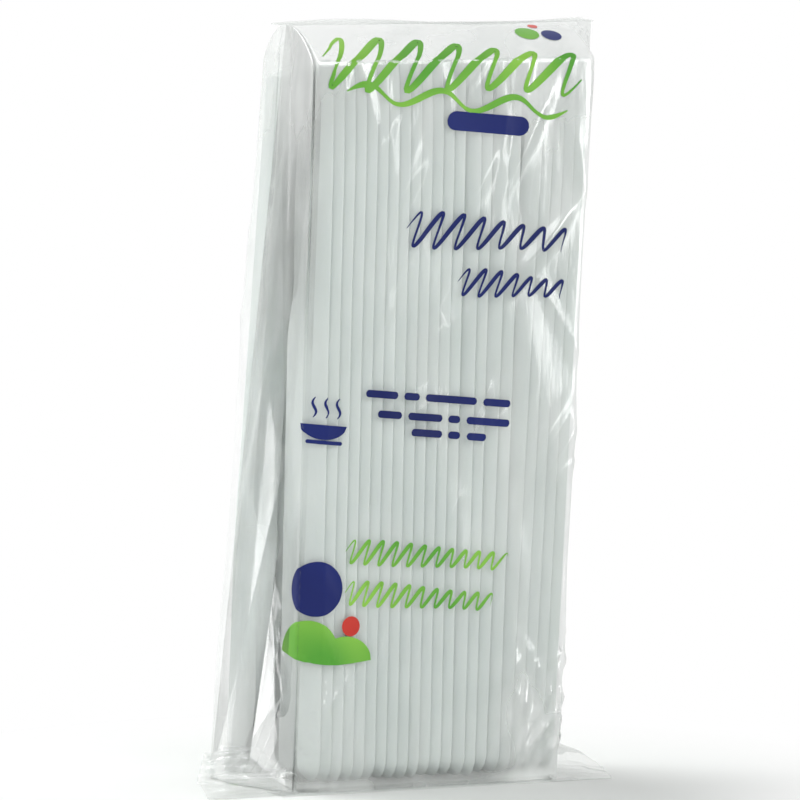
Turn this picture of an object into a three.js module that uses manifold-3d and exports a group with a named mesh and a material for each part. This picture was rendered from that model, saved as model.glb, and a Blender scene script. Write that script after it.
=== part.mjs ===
// Pack of fifty compostable knives in a clear film bag, standing on its folded bottom seal.
// Millimetres, +Z up, the wide front faces -Y. The knives stand in two rows of nested
// channels: the front row on its handles, the rear row turned over, on its blade tips.
import * as THREE from "three";
import { mergeVertices } from "three/addons/utils/BufferGeometryUtils.js";
import Module from "manifold-3d";

// One knife: a moulded channel handle that runs into a thin blade
const KNIFE_LENGTH = 165;
const RIM_WIDTH = 15; // handle across its open side
const CHANNEL_DEPTH = 5;
const DRAFT = 0.56; // sideways flare of a flange for each millimetre of depth
const WALL = 1;
const END_RADIUS = 5; // round corners at the end of the handle
const HANDLE_END = 100; // the channel is whole up to here
const HEEL = 114; // the blade has its full section from here
const BLADE_WIDTH = 18.5;
const TIP_DEPTH = 1.2; // spine flange left at the tip
const TIP_LIFT = 2.5; // the blade's outer face moves this far into the channel's depth
const BEVEL = 2.5; // width of the ground edge
const BEVEL_SHARE = 0.4; // near the tip the bevel takes no more than this of the width
const TEETH = 12;
const TOOTH_DEPTH = 0.7;
const TEETH_FROM = 117;
const TEETH_TO = 161;

// Blade stations: distance from the handle end, and the width there
const BLADE_STATIONS = [
  [HEEL, BLADE_WIDTH],
  [130, 18.3],
  [148, 16],
  [157, 11],
  [162, 6.5],
  [KNIFE_LENGTH, 3],
];

// The two rows
const FRONT_COUNT = 22;
const REAR_COUNT = 28;
const FRONT_PITCH = 2.75;
const REAR_PITCH = 2.61;
const FRONT_FOOT_X = 6.4; // left web of the front row at its foot
const FRONT_LEAN = 4; // how far the front row's left knife leans to +X over its length
const REAR_LEAN = 12.7;
const SPINE_TO_SPINE = 35.5; // depth of the two rows together
const LEAN_ROOM = 0.4; // what a leaning channel takes beyond its depth
const STEP_OF_FIVE = 0.15; // uneven heights in the front row: two repeating falls
const STEP_OF_THREE = 0.12;
const REAR_RISE = 1.2; // the right end of the rear row stands this much higher
const KNIFE_FOOT_Z = 1.8; // the knives stand on the folded film
// Looser places in the front row: knife number, extra gap at the foot and at the top
const FRONT_GAPS = [
  [13, 0.5, 1.4],
  [15, 0, 1.6],
  [16, 0.5, 0.2],
  [17, 0, 2.9],
];

// The film bag
const FILM = 0.4;
const CLEARANCE = 0.5; // film to the knives
const FRONT_SLACK = 0.1; // more room at the left corners
const REAR_SLACK = 0.3;
const FLOOR = 1; // folded layers under the knives
const FIRST_BEND = 14; // the film bends first at this height
const WALL_BANDS = 6; // bands between there and the top
const CREASE_HEIGHT = 0.45;
const BODY_TOP = KNIFE_FOOT_Z + KNIFE_LENGTH + REAR_RISE;
const CLOSURE_RISE = 8; // from the knives to the foot of the top seal
const SEAL_HEIGHT = 9;
const SEAL_THICK = 0.8;
const SEAL_RIDGES = 4;
const RIDGE_HEIGHT = 0.5;
const SEAL_Y = 20;
const SEAL_LEFT = 12;
const SEAL_RIGHT = 90;
const SEAL_WAVE = 0.8;
const BAND_LEFT = 1; // the folded bottom seal, under the front edge
const BAND_RIGHT = 75.5;
const BAND_FRONT = -3;
const SEAM_X = 36;
const SEAM_WIDTH = 9;
const SEAM_THICK = 1.4;
const SEAM_END = 6; // the seam stops this far from the floor and from the top
const VENT_RADIUS = 1.5;
const VENT_X = 62;
const VENT_Z = 148;
const VENT_DRILL = 4; // reach of the hole through the rear wall, crease and all
// Ears of the bottom fold, from front to rear: y, outer x, height there, height at the bag
const LEFT_EAR = [
  [-1, -16.5, 0, 0],
  [9, -15, 3.2, 2.6],
  [16, -11, 5.6, 6],
  [22, -7.8, 7.4, 8],
  [28, -4, 5, 6],
  [34, -1.5, 0.6, 0.6],
];
const LEFT_EAR_ROOT = 10; // the ears start inside the bag and are cut off at its wall
const RIGHT_EAR_ROOT = 68;
const RIGHT_EAR = [
  [-3, 84, 0, 0],
  [7, 86, 1, 4],
  [11, 85, 3.6, 8],
  [17, 82, 4, 7],
  [25, 79, 2, 4],
  [32, 78, 0.4, 0.5],
];

const white = new THREE.MeshStandardMaterial({ color: 0xe6ebe8, roughness: 0.45, metalness: 0 });
const film = new THREE.MeshStandardMaterial({
  color: 0xf1f5f1,
  roughness: 0.25,
  metalness: 0,
  transparent: true,
  opacity: 0.35,
});

const wasm = await Module();
wasm.setup();

const point = (x, y, z) => new THREE.Vector3(x, y, z);

// Closed mesh from a flat list of corners, three to a triangle, without the collapsed ones
function geometryOf(corners) {
  const kept = [];
  for (let i = 0; i < corners.length; i += 3) {
    const [a, b, c] = corners.slice(i, i + 3);
    if (a.distanceTo(b) > 1e-6 && b.distanceTo(c) > 1e-6 && c.distanceTo(a) > 1e-6) kept.push(a, b, c);
  }
  return mergeVertices(new THREE.BufferGeometry().setFromPoints(kept), 1e-4);
}

function solidOf(geometry) {
  return new wasm.Manifold(
    new wasm.Mesh({
      numProp: 3,
      vertProperties: new Float32Array(geometry.attributes.position.array),
      triVerts: new Uint32Array(geometry.index.array),
    }),
  );
}

function geometryOfSolid(solid) {
  const mesh = solid.getMesh();
  const geometry = new THREE.BufferGeometry();
  geometry.setAttribute("position", new THREE.BufferAttribute(mesh.vertProperties, 3));
  geometry.setIndex(new THREE.BufferAttribute(mesh.triVerts, 1));
  return geometry;
}

function quad(out, a, b, c, d) {
  out.push(a, b, c, a, c, d);
}

// Rails are lists of {v, p}, in order of v along the knife. A strip joins two of them.
function stitch(out, a, b) {
  let i = 0;
  let j = 0;
  while (i < a.length - 1 || j < b.length - 1) {
    const alongA = j === b.length - 1 || (i < a.length - 1 && a[i + 1].v <= b[j + 1].v);
    if (alongA) {
      out.push(a[i].p, a[i + 1].p, b[j].p);
      i += 1;
    } else {
      out.push(a[i].p, b[j + 1].p, b[j].p);
      j += 1;
    }
  }
}

// Sideways width of a flange wall, which is WALL thick across its slope
const FLANGE_WIDTH = WALL * Math.hypot(1, DRAFT);

// One section of the knife. y runs from the spine to the cutting side, x into the channel.
// Returned as outer points 0 to 3 and inner points 0 to 3, from spine rim to cutting side.
function handleRow(v, cornerAngle) {
  const flare = DRAFT * CHANNEL_DEPTH;
  const innerFlare = DRAFT * (CHANNEL_DEPTH - WALL) + FLANGE_WIDTH;
  const across = Math.sin(cornerAngle);
  const along = Math.cos(cornerAngle);
  // Each rail turns the corner at its own distance from the rim's corner centre
  const rail = (x, inset, side) => {
    const r = END_RADIUS - inset;
    const y = END_RADIUS - r * across;
    return point(x, side ? RIM_WIDTH - y : y, v > END_RADIUS ? v : END_RADIUS - r * along);
  };
  return {
    v,
    outer: [
      rail(CHANNEL_DEPTH, 0, 0),
      rail(0, flare, 0),
      rail(0, flare, 1),
      rail(CHANNEL_DEPTH, 0, 1),
    ],
    inner: [
      rail(CHANNEL_DEPTH, FLANGE_WIDTH, 0),
      rail(WALL, innerFlare, 0),
      rail(WALL, innerFlare, 1),
      rail(CHANNEL_DEPTH, FLANGE_WIDTH, 1),
    ],
  };
}

// How far along the blade a station is, from 0 at the heel to 1 at the tip
const alongBlade = (z) => (z - HEEL) / (KNIFE_LENGTH - HEEL);
const flangeDepth = (z) => TIP_DEPTH + (CHANNEL_DEPTH - TIP_DEPTH) * Math.sqrt(1 - alongBlade(z));
const spineX = (z) => TIP_LIFT * alongBlade(z);
const edgeX = (z) => THREE.MathUtils.lerp(CHANNEL_DEPTH - WALL, TIP_LIFT + WALL / 2, alongBlade(z));

function bladeRow([z, width]) {
  const depth = flangeDepth(z);
  const x0 = spineX(z);
  const spineCorner = DRAFT * depth;
  const innerCorner = DRAFT * (depth - WALL) + FLANGE_WIDTH;
  const bevelY = width - Math.min(BEVEL, BEVEL_SHARE * width);
  const bevelX = THREE.MathUtils.mapLinear(bevelY, spineCorner, width, x0, edgeX(z) - WALL / 2);
  const edge = point(edgeX(z), width, z);
  return {
    v: z,
    outer: [point(x0 + depth, 0, z), point(x0, spineCorner, z), point(bevelX, bevelY, z), edge],
    inner: [
      point(x0 + depth, FLANGE_WIDTH, z),
      point(x0 + WALL, innerCorner, z),
      point(bevelX + WALL, bevelY, z),
      edge,
    ],
  };
}

function widthAt(z) {
  const next = BLADE_STATIONS.findIndex(([station]) => station >= z);
  const [z0, w0] = BLADE_STATIONS[Math.max(0, next - 1)];
  const [z1, w1] = BLADE_STATIONS[Math.max(1, next)];
  return THREE.MathUtils.mapLinear(z, z0, z1, w0, w1);
}

// Cutting edge between the heel and the tip: notches cut back from the plain edge
function toothPoints() {
  const points = [];
  for (let i = 0; i <= 2 * TEETH; i += 1) {
    const z = THREE.MathUtils.lerp(TEETH_FROM, TEETH_TO, i / (2 * TEETH));
    const notch = i % 2 ? TOOTH_DEPTH : 0;
    points.push({ v: z, p: point(edgeX(z), widthAt(z) - notch, z) });
  }
  return points;
}

function knifeGeometry() {
  const rows = [
    handleRow(0, 0),
    handleRow(1, Math.PI / 4),
    handleRow(END_RADIUS, Math.PI / 2),
    handleRow(HANDLE_END, Math.PI / 2),
    ...BLADE_STATIONS.map(bladeRow),
  ];
  const rail = (side, k) => rows.map((row) => ({ v: row.v, p: row[side][k] }));
  const rails = [0, 1, 2, 3].map((k) => rail("outer", k));
  rails.push(...[3, 2, 1, 0].map((k) => rail("inner", k)));
  for (const edgeRail of [rails[3], rails[4]]) {
    const stations = edgeRail.filter(({ v }) => v < TEETH_FROM || v > TEETH_TO);
    edgeRail.splice(0, edgeRail.length, ...stations, ...toothPoints());
    edgeRail.sort((a, b) => a.v - b.v);
  }
  const out = [];
  rails.forEach((a, k) => stitch(out, a, rails[(k + 1) % rails.length]));
  // End of the handle: outer end flange, inner end flange and the rim between them
  const { outer: o, inner: n } = rows[0];
  quad(out, o[0], o[1], o[2], o[3]);
  quad(out, n[3], n[2], n[1], n[0]);
  quad(out, o[3], n[3], n[0], o[0]);
  // Tip
  const { outer: t, inner: u } = rows[rows.length - 1];
  for (let k = 0; k < 3; k += 1) quad(out, t[k], u[k], u[k + 1], t[k + 1]);
  return geometryOf(out);
}

// Where each knife stands: x at its foot and at its top
function frontPlaces() {
  const places = [];
  let foot = FRONT_FOOT_X;
  let top = FRONT_FOOT_X + FRONT_LEAN;
  for (let i = 0; i < FRONT_COUNT; i += 1) {
    const [, footGap, topGap] = FRONT_GAPS.find(([knife]) => knife === i) ?? [i, 0, 0];
    foot += i ? FRONT_PITCH + footGap : 0;
    top += i ? FRONT_PITCH + topGap : 0;
    places.push({ foot, top });
  }
  return places;
}

// Uneven heights in the front row. A knife may stand higher than the one that it nests
// in, but hardly lower, so the heights fall in small steps and jump up again.
const unevenness = (i) => STEP_OF_FIVE * (4 - (i % 5)) + STEP_OF_THREE * (2 - (i % 3));

const knife = knifeGeometry();

function addKnife(group, number, x, y, z, lean, turnedOver) {
  const mesh = new THREE.Mesh(knife, white);
  mesh.name = `knife_${String(number).padStart(2, "0")}`;
  mesh.rotation.x = turnedOver ? Math.PI : 0;
  const stand = new THREE.Group();
  stand.position.set(x, y, z);
  stand.rotation.y = lean;
  stand.add(mesh);
  group.add(stand);
}

function addKnives(group) {
  const front = frontPlaces();
  front.forEach(({ foot, top }, i) => {
    const lean = Math.asin((top - foot) / KNIFE_LENGTH);
    addKnife(group, i + 1, foot, 0, KNIFE_FOOT_Z + unevenness(i), lean, false);
  });
  const lean = Math.asin(REAR_LEAN / KNIFE_LENGTH);
  for (let i = 0; i < REAR_COUNT; i += 1) {
    const x = REAR_LEAN + i * REAR_PITCH;
    const rise = (REAR_RISE * i) / (REAR_COUNT - 1);
    const z = KNIFE_FOOT_Z + KNIFE_LENGTH * Math.cos(lean) + rise;
    addKnife(group, FRONT_COUNT + 1 + i, x, SPINE_TO_SPINE, z, lean, true);
  }
}

// Corners of the two rows' common outline at height z, in plan, from the front left
// round the front, the right side and the rear. The film is drawn tight round them.
function rowCorners(z) {
  const up = THREE.MathUtils.clamp((z - KNIFE_FOOT_Z) / KNIFE_LENGTH, 0, 1);
  const front = frontPlaces();
  const last = front[front.length - 1];
  const frontLeft = front[0].foot + FRONT_LEAN * up;
  const frontRight = THREE.MathUtils.lerp(last.foot, last.top, up) + CHANNEL_DEPTH + LEAN_ROOM;
  const rearLeft = REAR_LEAN * up;
  const rearRight = rearLeft + (REAR_COUNT - 1) * REAR_PITCH + CHANNEL_DEPTH + LEAN_ROOM;
  const flare = DRAFT * CHANNEL_DEPTH;
  const rearFront = SPINE_TO_SPINE - RIM_WIDTH;
  return [
    [frontLeft - FRONT_SLACK, flare * (1 - up)],
    [frontLeft + CHANNEL_DEPTH, 0],
    [frontRight, 0],
    [rearRight, rearFront],
    [rearRight, SPINE_TO_SPINE],
    [rearLeft + CHANNEL_DEPTH, SPINE_TO_SPINE],
    [rearLeft - REAR_SLACK, SPINE_TO_SPINE - flare * up],
    [rearLeft - REAR_SLACK, rearFront + flare],
  ].map(([x, y]) => new THREE.Vector2(x, y));
}

// Points along each side between two corners, so that the wide sides can crease
const SIDE_POINTS = [0, 6, 2, 1, 5, 0, 1, 2];

// Creases drawn in the film: soft ridges that run aslant, outward only
function crease(side, t, z) {
  if (!SIDE_POINTS[side]) return 0;
  const fade = Math.sin(Math.PI * t) * Math.sin(Math.PI * THREE.MathUtils.clamp(z / BODY_TOP, 0, 1));
  return CREASE_HEIGHT * fade * (1 + Math.sin(9 * t + 0.11 * z + 2 * side) * Math.sin(5 * t - 0.07 * z + side));
}

// Outline of the film at height z, held `grow` from the corners and squeezed to the seal
// line by `close`, from 0 for the full section to 1 for a flat one
function filmRing(z, shapeZ, grow, close) {
  const corners = rowCorners(shapeZ);
  const ring = [];
  corners.forEach((corner, k) => {
    const next = corners[(k + 1) % corners.length];
    const along = next.clone().sub(corner).normalize();
    const out = new THREE.Vector2(along.y, -along.x);
    const count = SIDE_POINTS[k] + 2;
    for (let j = 0; j < count; j += 1) {
      const t = j / (count - 1);
      const push = grow + crease(k, t, shapeZ) * (1 - close);
      const p = corner.clone().lerp(next, t).addScaledVector(out, push);
      const squeezed = SEAL_Y + (p.y - SEAL_Y) * (1 - close);
      const thin = Math.sign(out.y || 1) * grow * close;
      const x = THREE.MathUtils.lerp(p.x, THREE.MathUtils.clamp(p.x, SEAL_LEFT, SEAL_RIGHT), close);
      ring.push(point(x, squeezed + thin, z));
    }
  });
  return ring;
}

// Loft through rings of equal count, closed at both ends
function loft(rings) {
  const out = [];
  const count = rings[0].length;
  for (let r = 0; r < rings.length - 1; r += 1) {
    for (let i = 0; i < count; i += 1) {
      const j = (i + 1) % count;
      quad(out, rings[r][i], rings[r][j], rings[r + 1][j], rings[r + 1][i]);
    }
  }
  const [first, last] = [rings[0], rings[rings.length - 1]];
  const flat = (ring) => ring.map((p) => new THREE.Vector2(p.x, p.y));
  for (const [a, b, c] of THREE.ShapeUtils.triangulateShape(flat(first), [])) {
    out.push(first[a], first[c], first[b]);
  }
  for (const [a, b, c] of THREE.ShapeUtils.triangulateShape(flat(last), [])) {
    out.push(last[a], last[b], last[c]);
  }
  return geometryOf(out);
}

// Thin closed sheet between two grids of points, the second one `under` the first
function sheet(grid, under) {
  const out = [];
  const rows = grid.length - 1;
  const columns = grid[0].length - 1;
  for (let r = 0; r < rows; r += 1) {
    for (let c = 0; c < columns; c += 1) {
      quad(out, grid[r][c], grid[r][c + 1], grid[r + 1][c + 1], grid[r + 1][c]);
      quad(out, under[r][c], under[r + 1][c], under[r + 1][c + 1], under[r][c + 1]);
    }
    quad(out, grid[r][0], grid[r + 1][0], under[r + 1][0], under[r][0]);
    quad(out, grid[r + 1][columns], grid[r][columns], under[r][columns], under[r + 1][columns]);
  }
  for (let c = 0; c < columns; c += 1) {
    quad(out, grid[0][c + 1], grid[0][c], under[0][c], under[0][c + 1]);
    quad(out, grid[rows][c], grid[rows][c + 1], under[rows][c + 1], under[rows][c]);
  }
  return solidOf(geometryOf(out));
}

// Grid of points, rows across a seal or flap and columns along it, each from 0 to 1
function gridOf(rows, columns, at) {
  return Array.from({ length: rows + 1 }, (_, r) =>
    Array.from({ length: columns + 1 }, (_unused, c) => at(r / rows, c / columns)),
  );
}

// Height of the crimp ridges at r, from 0 to 1 across a seal
const ridge = (r) => (Math.round(r * 2 * SEAL_RIDGES) % 2 ? RIDGE_HEIGHT : 0);

// The top seal lies folded back over the rear half of the closure, in a slight wave
function topSeal() {
  const height = BODY_TOP + CLOSURE_RISE - SEAL_THICK;
  const face = (offset, ridges) =>
    gridOf(2 * SEAL_RIDGES, 8, (r, c) => {
      const wave = SEAL_WAVE * Math.sin(7 * c) * r;
      return point(
        THREE.MathUtils.lerp(SEAL_LEFT, SEAL_RIGHT, c),
        SEAL_Y + SEAL_HEIGHT * r,
        height + wave + offset + (ridges ? ridge(r) : 0),
      );
    });
  return sheet(face(SEAL_THICK, true), face(0, false));
}

// The bottom seal is folded under the front edge
function bottomSeal() {
  const face = (height, ridges) =>
    gridOf(2 * SEAL_RIDGES, 1, (r, c) =>
      point(
        THREE.MathUtils.lerp(BAND_LEFT, BAND_RIGHT, c),
        BAND_FRONT + SEAL_HEIGHT * r,
        height + (ridges && r < 0.4 ? ridge(r) : 0),
      ),
    );
  return sheet(face(SEAL_THICK, true), face(0, false));
}

// A station of an ear at t, from 0 at its front edge to 1 at the next station
function between(a, b, t) {
  return a.map((value, k) => THREE.MathUtils.lerp(value, b[k], t));
}

// The corners of the flattened bottom stick out left and right as ears. They carry the
// crimped seal along their front edge and lift off the floor towards the rear.
function ear(stations, wallX) {
  const bandRows = 2 * SEAL_RIDGES;
  const rows = Array.from({ length: bandRows }, (_, r) => ({
    station: between(stations[0], stations[1], r / bandRows),
    crimp: ridge(r / bandRows),
  }));
  rows.push(...stations.slice(1).map((station) => ({ station, crimp: 0 })));
  const leftward = stations[0][1] < wallX;
  const face = (height, ridges) =>
    rows.map(({ station: [y, outX, outZ, wallZ], crimp }) =>
      [0, 0.33, 0.66, 1].map((t) => {
        const share = leftward ? 1 - t : t;
        const lift = THREE.MathUtils.lerp(wallZ, outZ, share) + (ridges ? crimp : 0);
        return point(THREE.MathUtils.lerp(wallX, outX, share), y, lift + height);
      }),
    );
  return sheet(face(SEAL_THICK, true), face(0, false));
}

// The seam down the back, pressed flat against the bag
function backSeam() {
  const face = (y) =>
    gridOf(1, 1, (r, c) =>
      point(
        SEAM_X + SEAM_WIDTH * (0.5 - c) + REAR_LEAN * r,
        y,
        THREE.MathUtils.lerp(SEAM_END, BODY_TOP - SEAM_END, r),
      ),
    );
  const y = SPINE_TO_SPINE + CLEARANCE + FILM / 2;
  return sheet(face(y + SEAM_THICK), face(y));
}

function filmBag() {
  const heights = [0, FLOOR];
  for (let i = 0; i <= WALL_BANDS; i += 1) {
    heights.push(THREE.MathUtils.lerp(FIRST_BEND, BODY_TOP, i / WALL_BANDS));
  }
  const outer = heights.map((z) => filmRing(z, z, CLEARANCE + FILM, 0));
  outer.push(filmRing(BODY_TOP + 0.6 * CLOSURE_RISE, BODY_TOP, CLEARANCE + FILM, 0.45));
  outer.push(filmRing(BODY_TOP + CLOSURE_RISE, BODY_TOP, CLEARANCE, 0.93));
  const inner = heights.slice(1).map((z) => filmRing(z, z, CLEARANCE, 0));
  inner.push(filmRing(BODY_TOP + 0.6 * CLOSURE_RISE - FILM, BODY_TOP, CLEARANCE, 0.45));
  inner.push(filmRing(BODY_TOP + CLOSURE_RISE - 2 * FILM, BODY_TOP, 0.2, 0.9));
  const ears = [ear(LEFT_EAR, LEFT_EAR_ROOT), ear(RIGHT_EAR, RIGHT_EAR_ROOT)];
  const seals = [topSeal(), bottomSeal(), backSeam(), ...ears];
  const vent = new THREE.CylinderGeometry(VENT_RADIUS, VENT_RADIUS, VENT_DRILL, 12);
  vent.translate(VENT_X, SPINE_TO_SPINE + (CLEARANCE + VENT_DRILL) / 2, VENT_Z);
  vent.deleteAttribute("normal");
  vent.deleteAttribute("uv");
  const whole = seals.reduce((sum, seal) => sum.add(seal), solidOf(loft(outer)));
  return whole.subtract(solidOf(loft(inner))).subtract(solidOf(mergeVertices(vent, 1e-4)));
}

const pack = new THREE.Group();
addKnives(pack);

const bag = new THREE.Mesh(geometryOfSolid(filmBag()), film);
bag.name = "film_bag";
pack.add(bag);

// The pack's own frame has its origin under the middle of its outer box
const box = new THREE.Box3().setFromObject(pack, true);
const middle = box.getCenter(new THREE.Vector3());
pack.position.set(-middle.x, -middle.y, -box.min.z);
const part = new THREE.Group();
part.add(pack);

export default part;
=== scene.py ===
# %% [markdown]
# # A clear bag of moulded knives
# The object is a film bag of white disposable knives that stands on its folded bottom.
# The knives are nested in two rows. The front row stands on its handles and the rear row
# is turned over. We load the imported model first, because every piece is built around it.

# %% Load the frame
import math
import random

import bpy
import numpy as np
from mathutils import Matrix, Vector


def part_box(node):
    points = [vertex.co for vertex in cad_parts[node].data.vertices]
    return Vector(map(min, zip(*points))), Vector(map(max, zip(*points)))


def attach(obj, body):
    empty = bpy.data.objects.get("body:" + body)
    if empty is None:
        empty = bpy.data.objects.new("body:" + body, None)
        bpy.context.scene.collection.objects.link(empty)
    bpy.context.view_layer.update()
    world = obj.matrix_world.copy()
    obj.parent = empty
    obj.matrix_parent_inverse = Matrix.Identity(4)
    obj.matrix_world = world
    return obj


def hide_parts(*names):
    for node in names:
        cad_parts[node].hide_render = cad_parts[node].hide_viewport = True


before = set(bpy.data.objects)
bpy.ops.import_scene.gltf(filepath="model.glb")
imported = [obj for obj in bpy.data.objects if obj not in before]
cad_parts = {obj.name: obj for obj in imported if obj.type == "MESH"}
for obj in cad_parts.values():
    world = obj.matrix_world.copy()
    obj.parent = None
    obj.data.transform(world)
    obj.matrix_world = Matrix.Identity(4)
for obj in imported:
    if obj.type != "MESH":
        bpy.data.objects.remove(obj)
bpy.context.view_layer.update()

# %% [markdown]
# ## Measures
# Every size below is in millimetres and is written as the maker would write it. One
# function turns such a place into the frame's metres. X counts from the rear row's left
# edge at the table, Y from the front row's spines, and Z from the table. The front row's
# left knife, which stands 6.4 mm in from that zero, says where this is in the frame.

# %% Millimetres and the frame
MM = 0.001
FRONT_FOOT_X = 6.4
ZERO_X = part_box("knife_01")[0].x - FRONT_FOOT_X * MM
ZERO_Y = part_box("knife_01")[0].y
FOOT_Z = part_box("knife_01")[0].z / MM


def place(x, y, z):
    """A place in millimetres, as a vector in the frame's metres."""
    return Vector((ZERO_X + x * MM, ZERO_Y + y * MM, z * MM))


print("zero of the measures:", round(ZERO_X / MM, 1), round(ZERO_Y / MM, 1))

# %% [markdown]
# ## Small helpers
# A CAD import leaves its nodes selected, so everything is deselected before a new
# primitive is added. Colours are written in hex as a screen shows them, and one function
# turns them into the linear values that the renderer works with.

# %% Helpers
def deselect():
    bpy.ops.object.select_all(action="DESELECT")


def choose(piece):
    deselect()
    piece.select_set(True)
    bpy.context.view_layer.objects.active = piece


def linear(hex_colour):
    """sRGB hex, such as 'CBD4D2', to linear red, green, blue and an alpha of 1."""
    values = [int(hex_colour[i : i + 2], 16) / 255 for i in (0, 2, 4)]
    return [v / 12.92 if v < 0.04045 else ((v + 0.055) / 1.055) ** 2.4 for v in values] + [1.0]


def add_node(material, kind, inputs=None, **settings):
    """Adds a shader node. An input is a plain value, or an output socket to link from."""
    tree = material.node_tree
    node = tree.nodes.new(kind)
    for name, value in settings.items():
        setattr(node, name, value)
    for name, value in (inputs or {}).items():
        if isinstance(value, bpy.types.NodeSocket):
            tree.links.new(value, node.inputs[name])
        else:
            node.inputs[name].default_value = value
    return node


def new_material(name):
    material = bpy.data.materials.new(name)
    material.use_nodes = True
    material.node_tree.nodes.clear()
    return material


def apply_modifiers(piece):
    choose(piece)
    for modifier in list(piece.modifiers):
        bpy.ops.object.modifier_apply(modifier=modifier.name)


def grid_piece(name, columns, rows):
    """A grid made at the origin. Returns it with each vertex's column and row."""
    deselect()
    bpy.ops.mesh.primitive_grid_add(x_subdivisions=columns, y_subdivisions=rows, size=1)
    piece = bpy.context.object
    piece.name = name
    piece.data.name = name
    cells = [
        (round((v.co.x + 0.5) * columns), round((v.co.y + 0.5) * rows))
        for v in piece.data.vertices
    ]
    return piece, cells


def dress(piece, material):
    piece.data.materials.clear()
    piece.data.materials.append(material)
    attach(piece, "root")


print("helpers are ready")

# %% [markdown]
# ## The camera
# The photograph was taken from the front left, a little above the table, with a long
# lens from nearly two metres. A long lens keeps the sides of the pack almost parallel.

# %% Camera
AZIMUTH = math.radians(-24)
ELEVATION = math.radians(4.5)
CAMERA_DISTANCE = 1.8
VIEW_WIDTH = 0.1848
SENSOR = 36.0
AIM = Vector((0.0022, -0.0010, 0.0882))

back = Vector((
    math.sin(AZIMUTH) * math.cos(ELEVATION),
    -math.cos(AZIMUTH) * math.cos(ELEVATION),
    math.sin(ELEVATION),
))
camera_data = bpy.data.cameras.new("camera")
camera_data.sensor_width = SENSOR
camera_data.lens = SENSOR * CAMERA_DISTANCE / VIEW_WIDTH
camera_data.clip_end = 20
camera = bpy.data.objects.new("camera", camera_data)
bpy.context.collection.objects.link(camera)
camera.location = AIM + back * CAMERA_DISTANCE
camera.rotation_euler = (-back).to_track_quat("-Z", "Y").to_euler()
bpy.context.scene.camera = camera
print("lens", round(camera_data.lens), "mm")

# %% [markdown]
# ## Crystallised polylactide
# The knives are injection moulded in polylactide that is crystallised to stand hot food.
# That makes it an opaque, slightly greenish white with a satin skin. A fine bump stands
# for the mould's polish, and a wide, weak variation for the way the filler flowed.

# %% Knife material
KNIFE_WHITE = "DDE4E1"
KNIFE_SHADE = "D3DBD8"
FILLER_MM = 25  # how widely the shade of the moulding changes
POLISH_MM = 0.7  # the real polish is finer; this is as fine as the picture shows

knife_plastic = new_material("crystallised_polylactide_moulded")
coords = add_node(knife_plastic, "ShaderNodeTexCoord").outputs["Object"]
flow = add_node(
    knife_plastic,
    "ShaderNodeTexNoise",
    {"Vector": coords, "Scale": 1000 / FILLER_MM, "Detail": 2.0},
)
flow_ramp = add_node(knife_plastic, "ShaderNodeValToRGB", {"Fac": flow.outputs["Fac"]})
flow_ramp.color_ramp.elements[0].position = 0.35
flow_ramp.color_ramp.elements[0].color = linear(KNIFE_SHADE)
flow_ramp.color_ramp.elements[1].position = 0.65
flow_ramp.color_ramp.elements[1].color = linear(KNIFE_WHITE)
polish = add_node(
    knife_plastic,
    "ShaderNodeTexNoise",
    {"Vector": coords, "Scale": 1000 / POLISH_MM, "Detail": 2.0},
)
polish_bump = add_node(
    knife_plastic,
    "ShaderNodeBump",
    {"Height": polish.outputs["Fac"], "Strength": 0.08, "Distance": 0.0002},
)
knife_shader = add_node(
    knife_plastic,
    "ShaderNodeBsdfPrincipled",
    {
        "Base Color": flow_ramp.outputs["Color"],
        "Roughness": 0.42,
        "IOR": 1.46,
        "Subsurface Weight": 0.45,
        "Subsurface Radius": (1.0, 1.0, 0.9),
        "Subsurface Scale": 0.0016,
        "Normal": polish_bump.outputs["Normal"],
    },
)
add_node(knife_plastic, "ShaderNodeOutputMaterial", {"Surface": knife_shader.outputs["BSDF"]})
print("material:", knife_plastic.name)

# %% [markdown]
# ## One knife
# A moulded knife is a channel: a web with two drafted flanges, closed by a rounded end.
# Past the shoulder the cutting side flattens into a blade, and the spine keeps a flange
# that gets shallow towards the tip. The section always has four corners, so the shell is
# a grid three faces wide whose rows are laid along the knife. The end is filled, a
# Solidify modifier gives the wall its thickness, and a Bevel breaks the moulded edges.

# %% Knife measures
KNIFE_LENGTH = 165
RIM_WIDTH = 15
CHANNEL_DEPTH = 5
DRAFT = 0.56
WALL = 1.0
END_RADIUS = 5
HANDLE_END = 100
HEEL = 114
BLADE_WIDTH = 18.5
TIP_WIDTH = 3
TIP_DEPTH = 1.2
TIP_LIFT = 2.5
BEVEL_WIDTH = 2.5
TOOTH_PITCH = 1.0
TOOTH_DEPTH = 0.4
TEETH_FROM = 117
TEETH_TO = 161
EDGE_THINNING = 0.3  # the cutting edge's wall, as a share of the full wall
EDGE_BREAK = 0.22  # width of the rounding on the moulded edges


def handle_section(v, corner):
    """Spine rim, web, web and cutting rim at v from the end, as (depth, across, along)."""
    flare = DRAFT * CHANNEL_DEPTH
    points = []
    for depth, inset in ((CHANNEL_DEPTH, 0), (0, flare)):
        radius = END_RADIUS - inset
        points.append((depth, END_RADIUS - radius * math.sin(corner), radius))
    rim, web = points
    along = [v if v > END_RADIUS else END_RADIUS - p[2] * math.cos(corner) for p in (rim, web)]
    return [
        (rim[0], rim[1], along[0]),
        (web[0], web[1], along[1]),
        (web[0], RIM_WIDTH - web[1], along[1]),
        (rim[0], RIM_WIDTH - rim[1], along[0]),
    ]


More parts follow.
